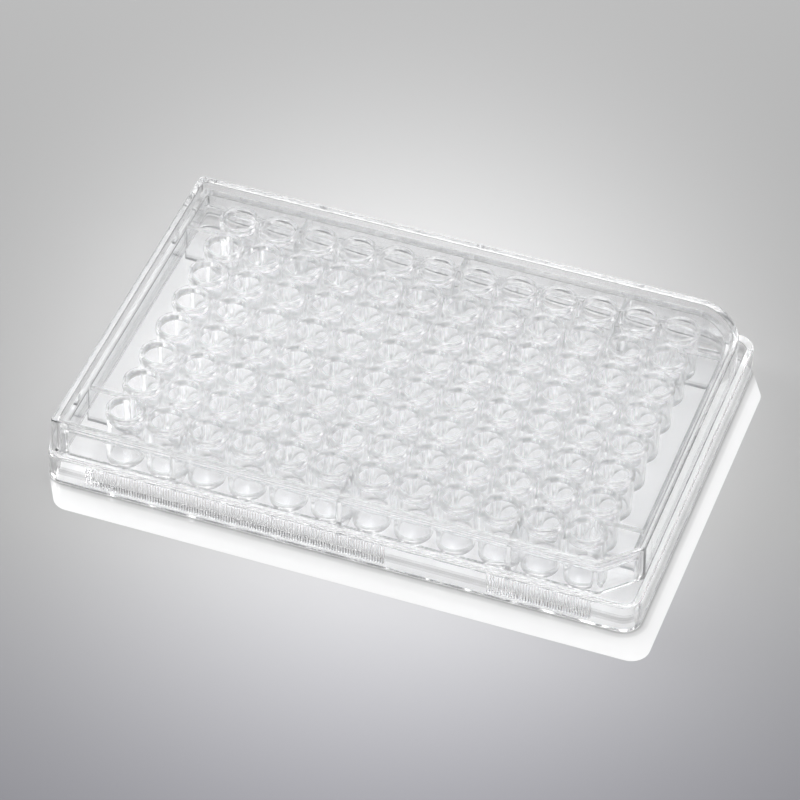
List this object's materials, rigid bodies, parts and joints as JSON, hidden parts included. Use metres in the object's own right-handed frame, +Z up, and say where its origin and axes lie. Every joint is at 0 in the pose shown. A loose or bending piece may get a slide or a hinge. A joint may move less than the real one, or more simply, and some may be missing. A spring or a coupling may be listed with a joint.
{
  "type": "well plate",
  "caption": "Clear moulded microplate with rows of flat-bottomed round wells, a finger-grip flange and a loose clear lid with two cut-off corners.",
  "frame": {"origin": "centre of the footprint, on the surface that the plate stands on", "axes": "+X along the long side from column 1 to column 12, +Y across from row H to row A, +Z up"},
  "size_m": [0.1278, 0.0854, 0.0157],
  "materials": {
    "plate_plastic": "clear colourless polystyrene, mould-polished",
    "lid_plastic": "clear colourless polystyrene, mould-polished"
  },
  "bodies": {
    "root": {"well_plate": "plate_plastic", "lid": "lid_plastic"}
  },
  "joints": []
}
